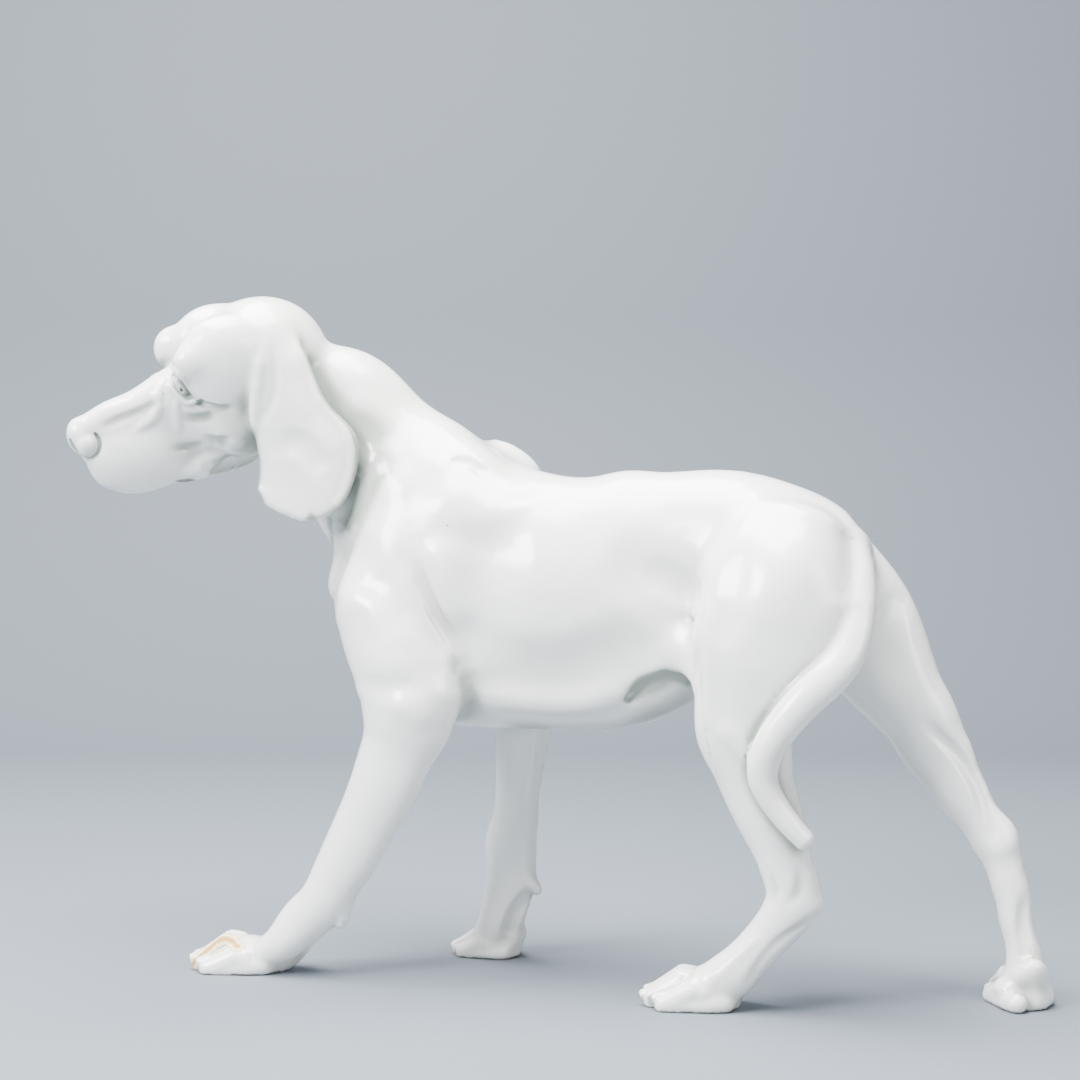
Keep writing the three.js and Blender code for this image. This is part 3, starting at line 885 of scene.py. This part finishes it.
def flaggedBy(level, verts, tris):
    # the triangles to split at this level
    middle = verts[tris].mean(1)
    flags = np.zeros(len(tris), bool)
    for form in forms:
        if form.detail >= level:
            close = inBox(middle, form, 2)
            depth = np.abs(form.field(middle[close]))
            close[close] = depth < (stance["nearFine"] - 3 * level if form.fine else stance["nearForm"])
            flags |= close
    for relief in reliefs:
        if level == 1 and relief.reach < stance["narrow"]:
            close = inBox(middle, relief)
            close[close] = relief.near(middle[close])[0] < relief.reach
            flags |= close
    return flags


def carved(field, verts, tris):
    # drops each vertex near a fine form straight onto the finished skin, from outside
    chosen = np.zeros(len(verts), bool)
    for form in forms:
        if form.fine:
            close = inBox(verts, form, 4)
            close[close] = form.field(verts[close]) < 3
            chosen |= close
    v = verts[chosen]
    # heights are in millimetres inward from the rough skin; a start that is buried moves lower
    inward = -cornerNormals(verts, tris)[chosen]
    height = np.full(len(v), -5.0)
    for lower in (-2.5, -1.0, 0.0):
        buried = field(v + height[:, None] * inward) < 0.2
        height[buried] = lower
    for _ in range(8):
        height += np.clip(field(v + height[:, None] * inward), -1, 3) * 0.9
    out = verts.copy()
    out[chosen] = v + np.clip(height, -6, 9)[:, None] * inward
    print("carved", chosen.sum(), "vertices")
    return out


def drawnReliefs(lines, place, outside, bare, off=0.0):
    # lays each line on the bare skin and makes a relief along it
    made = []
    for reach, lift, spots in lines.values():
        path = onSkin(bare, place, spots, outside)
        path[:, 1] += off * np.sign(outside)
        made.append(Relief(place.points(smoothLine(path)), reach, lift))
    return made


bareField = fieldOf(list(forms), [])
bodyField = fieldOf(bodyForms, [])
headField = fieldOf(headForms(), [], soles=False)
forms += faceForms(headField)
reliefs = drawnReliefs(dog["leftLines"], ground, -stance["outside"], bodyField)
reliefs += drawnReliefs(dog["rightLines"], ground, stance["outside"], bodyField)
for outside in (head["outside"], -head["outside"]):
    reliefs += drawnReliefs(dog["faceLines"], headPlace, outside, headField)
reliefs += drawnReliefs(dog["earLines"], headPlace, head["earOutside"], headField, head["earLift"])
field = fieldOf(forms, reliefs)
report("reliefs:", len(reliefs))
verts, tris = firstSkin(bareField, stance["low"], stance["high"], stance["cell"])
verts = relaxed(bareField, verts, tris, 3)
report("first skin:", len(tris), "triangles")
for level in (1, 2, 3):
    before = len(verts)
    verts, tris = refined(verts, tris, flaggedBy(level, verts, tris))
    verts[before:] = settled(bareField, verts[before:])
    around = np.unique(tris[(tris >= before).any(1)])
    verts = relaxed(bareField, verts, tris, 3 if level == 1 else 1, around)
    report("detail level", level, len(tris), "triangles")
midField = fieldOf([form for form in forms if not form.fine], reliefs)
touched = np.zeros(len(verts), bool)
for relief in reliefs:
    touched |= inBox(verts, relief)
verts[touched] = settled(midField, verts[touched], 6)
report("relief done")
verts = carved(field, verts, tris)
report("carving done")


def inScene(name, data):
    made = bpy.data.objects.new(name, data)
    bpy.context.scene.collection.objects.link(made)
    return made


def meshObject(name, verts, tris, material):
    mesh = bpy.data.meshes.new(name)
    mesh.vertices.add(len(verts))
    mesh.vertices.foreach_set("co", verts.astype(np.float32).ravel())
    mesh.loops.add(len(tris) * 3)
    mesh.loops.foreach_set("vertex_index", tris.astype(np.int32).ravel())
    mesh.polygons.add(len(tris))
    mesh.polygons.foreach_set("loop_start", np.arange(0, len(tris) * 3, 3, dtype=np.int32))
    mesh.polygons.foreach_set("use_smooth", np.ones(len(tris), bool))
    mesh.update(calc_edges=True)
    mesh.validate()
    mesh.materials.append(material)
    return inScene(name, mesh)


def markAmount(name, verts):
    # how near each vertex lies to a mark: one on its line, nothing beyond its reach
    amount = np.zeros(len(verts))
    for reach, spots in dog["marks"][name]:
        line = Relief(smoothLine(onSkin(bareField, ground, spots, -stance["outside"]), 3), reach, 1)
        near = np.flatnonzero(inBox(verts, line))
        amount[near] = np.maximum(amount[near], 1 - line.near(verts[near])[0] / reach)
    return amount


def paintedHollowShade(verts, tris):
    # painted shade: how far the skin around a vertex closes in on it, and how deep it lies in a narrow
    # crease
    hollows = dog["hollows"]
    normals = cornerNormals(verts, tris)
    amount = np.zeros(len(verts))
    for away, weight in hollows["probes"]:
        gap = field(verts + normals * away) / away
        amount += weight * np.clip(hollows["open"] - gap, 0, 1)
    creases = [relief for relief in reliefs if relief.reach < hollows["narrow"] and relief.lift < 0]
    creases.append(Relief(np.array(dog["foldRecess"])[:, :3], *hollows["fold"]))
    for line in creases:
        near = np.flatnonzero(inBox(verts, line))
        away, along = line.near(verts[near])
        depth = hollows["shade"] * min(-line.lift, hollows["deepest"]) * (1 - (2 * along - 1)**2)
        amount[near] += depth * np.clip(1 - away / line.reach, 0, 1)
    return np.clip(amount, 0, 1)


def glazeMaterial():
    material = bpy.data.materials.new("white glaze")
    material.use_nodes = True
    tree = material.node_tree
    shader = tree.nodes["Principled BSDF"]
    shares = glaze["shares"]

    def feed(socket, value):
        if isinstance(value, bpy.types.NodeSocket):
            tree.links.new(value, socket)
        else:
            socket.default_value = value

    def node(kind, inputs, **settings):
        made = tree.nodes.new("ShaderNode" + kind)
        for name, value in settings.items():
            setattr(made, name, value)
        for name, value in inputs.items():
            feed(made.inputs[name], value)
        return made

    def noise(name):
        scale, detail, roughness = glaze["noises"][name]
        inputs = {"Vector": place, "Scale": scale, "Detail": detail, "Roughness": roughness}
        return node("TexNoise", inputs).outputs["Fac"]

    def edged(value, name, full=1.0):
        low, high = glaze["edges"][name]
        inputs = {"Value": value, "From Min": low, "From Max": high, "To Max": full}
        return node("MapRange", inputs, interpolation_type="SMOOTHSTEP").outputs["Result"]

    def ranged(value, low, high):
        return node("MapRange", {"Value": value, "To Min": low, "To Max": high}).outputs["Result"]

    def maths(kind, a, b):
        return node("Math", {0: a, 1: b}, operation=kind).outputs[0]

    def times(a, b):
        return maths("MULTIPLY", a, b)

    def blend(amount, under, over):
        return node("Mix", {0: amount, 6: under, 7: over}, data_type="RGBA").outputs[2]

    def mark(name):
        return node("Attribute", {}, attribute_name=name).outputs["Fac"]

    place = node("TexCoord", {}).outputs["Object"]
    height = node("SeparateXYZ", {"Vector": place}).outputs["Z"]
    cloud = noise("cloud")
    # painted shade: the hollow mask and the lines of painted shade darken the white toward the shade colour
    paintedShade = maths("ADD", mark("hollow"), times(mark("shadeLines"), shares["shadeLines"]))
    hollow = edged(maths("ADD", paintedShade, times(cloud, shares["cloud"])), "hollow")
    torn = edged(maths("ADD", mark("torn"), times(noise("torn"), shares["torn"])), "torn")
    core = edged(maths("ADD", mark("torn"), times(noise("core"), shares["core"])), "core")
    stain = edged(times(mark("stain"), noise("stain")), "stain")
    scuff = edged(times(mark("scuff"), noise("scuff")), "scuff")
    pits = node("TexVoronoi", {"Vector": place, "Scale": glaze["pinholeScale"]}).outputs["Distance"]
    pinhole = maths("SUBTRACT", 1.0, edged(pits, "pinhole"))
    lowEdge = maths("SUBTRACT", 1.0, edged(height, "sole"))
    chip = edged(times(lowEdge, noise("chip")), "chip")
    # the painted shadow in the slit between the lips is a stretched ball of dark colour
    slitInputs = {"Vector": place, "Location": glaze["slitAt"], "Rotation": glaze["slitTurn"],
                  "Scale": glaze["slitSize"]}
    slitPlace = node("Mapping", slitInputs, vector_type="TEXTURE").outputs["Vector"]
    slitBall = node("TexGradient", {"Vector": slitPlace}, gradient_type="SPHERICAL")
    slit = edged(slitBall.outputs["Fac"], "slit")
    clay = blend(core, glaze["clay"], glaze["clayShade"])

    colour = blend(edged(cloud, "cloud", 0.5), glaze["white"], glaze["warm"])
    layers = ((hollow, glaze["paintedShade"]), (stain, glaze["stain"]), (scuff, glaze["dirtAndShadow"]),
              (pinhole, glaze["dirtAndShadow"]), (torn, clay), (slit, glaze["dirtAndShadow"]), (chip, glaze["soleEdge"]))
    for amount, over in layers:
        colour = blend(amount, colour, over)
    bareClay = maths("MAXIMUM", torn, chip)
    feed(shader.inputs["Base Color"], colour)
    feed(shader.inputs["Roughness"], ranged(bareClay, glaze["roughness"], glaze["clayRoughness"]))
    feed(shader.inputs["Coat Weight"], ranged(bareClay, glaze["coat"], 0.0))
    feed(shader.inputs["Coat Roughness"], glaze["coatRoughness"])

    bumps = ((noise("wave"), "waveDepth"), (noise("grain"), "peelDepth"),
             (times(torn, noise("tear")), "tearDepth"), (pinhole, "pinholeDepth"))
    below = {}
    for raised, depth in bumps:
        inputs = {"Height": raised, "Distance": glaze[depth], "Strength": 1.0, **below}
        bump = node("Bump", inputs, invert=(depth == "pinholeDepth"))
        below = {"Normal": bump.outputs["Normal"]}
    feed(shader.inputs["Normal"], below["Normal"])
    feed(shader.inputs["Coat Normal"], below["Normal"])
    return material


placed = (verts + np.array(stance["shift"])) / 1000
figure = meshObject("dogFigure", placed, tris, glazeMaterial())
amounts = {name: markAmount(name, verts) for name in dog["marks"]}
amounts["hollow"] = paintedHollowShade(verts, tris)
for name, amount in amounts.items():
    figure.data.attributes.new(name, "FLOAT", "POINT").data.foreach_set("value", amount.astype(np.float32))
report("marks done")
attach(figure, "root")
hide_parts("dog")

studio = {
    "floor": (0.15, 0.174, 0.204, 1),
    "floorRoughness": 0.7,
    # the backdrop, in metres: front edge, where it starts to rise, radius of the rise, height, half width
    "front": -2.5,
    "rise": 1.5,
    "bend": 0.7,
    "wall": 2.6,
    "half": 4.0,
    # each light's place, what it faces, its width and height, its watts
    "lights": {
        "top box": ((-0.3, -0.3, 2.3), (0, 0, 0.3), (2.0, 1.4), 335),
        "front box": ((-1.6, -2.2, 1.7), (-0.1, 0, 0.3), (1.2, 1.0), 215),
        "side box": ((2.2, -1.0, 1.3), (0.1, 0, 0.3), (1.0, 1.2), 40),
    },
    "sky": (0.8, 0.82, 0.84, 1),
    "skyStrength": 0.17,
    "cameraHeight": 0.408,
    "cameraDistance": 1.76,
    "aim": (0, -0.030, 0),    # the camera looks at a point 30 mm in front of the spine
    "lens": 73.3,
    "sensor": 36,
    "azimuth": 20.0,
    # the horizon's row, the middle row and the focal length, in the photo's pixels
    "horizonRow": 480,
    "middleRow": 540,
    "focalPixels": 2200,
}


def floorAndWall():
    # a floor that curves up into a wall behind the dog
    rise, bend, half = studio["rise"], studio["bend"], studio["half"]
    profile = [(studio["front"], 0.0), (rise, 0.0)]
    for i in range(1, 13):
        a = math.radians(90 * i / 12)
        profile.append((rise + bend * math.sin(a), bend * (1 - math.cos(a))))
    profile.append((rise + bend, studio["wall"]))
    cos, sin = math.cos(turn), math.sin(turn)
    points = [(w * cos - u * sin, w * sin + u * cos, z) for u, z in profile for w in (-half, half)]
    faces = [(2 * i, 2 * i + 1, 2 * i + 3, 2 * i + 2) for i in range(len(profile) - 1)]
    mesh = bpy.data.meshes.new("backdrop")
    mesh.from_pydata(points, [], faces)
    mesh.polygons.foreach_set("use_smooth", [True] * len(faces))
    paper = bpy.data.materials.new("pale paper")
    paper.use_nodes = True
    shader = paper.node_tree.nodes["Principled BSDF"]
    shader.inputs["Base Color"].default_value = studio["floor"]
    shader.inputs["Roughness"].default_value = studio["floorRoughness"]
    mesh.materials.append(paper)
    return inScene("backdrop", mesh)


def softLight(name, spot, aim, size, power):
    data = bpy.data.lights.new(name, "AREA")
    data.shape = "RECTANGLE"
    data.size, data.size_y = size
    data.energy = power
    lamp = inScene(name, data)
    lamp.location = spot
    lamp.rotation_euler = (Vector(aim) - Vector(spot)).to_track_quat("-Z", "Y").to_euler()


turn = math.radians(studio["azimuth"])
floorAndWall()
for name, settings in studio["lights"].items():
    softLight(name, *settings)
world = bpy.data.worlds.new("studio")
world.use_nodes = True
sky = world.node_tree.nodes["Background"]
sky.inputs["Color"].default_value = studio["sky"]
sky.inputs["Strength"].default_value = studio["skyStrength"]
bpy.context.scene.world = world
camera = inScene("camera", bpy.data.cameras.new("camera"))
camera.data.lens = studio["lens"]
camera.data.sensor_width = studio["sensor"]
spot = np.array(studio["aim"]) + np.array(stance["shift"]) / 1000
spot += np.array([math.sin(turn), -math.cos(turn), 0]) * studio["cameraDistance"]
spot[2] = studio["cameraHeight"]
camera.location = spot
tilt = math.atan((studio["middleRow"] - studio["horizonRow"]) / studio["focalPixels"])
camera.rotation_euler = (math.radians(90) - tilt, 0, turn)
bpy.context.scene.camera = camera
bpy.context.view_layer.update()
report("done")
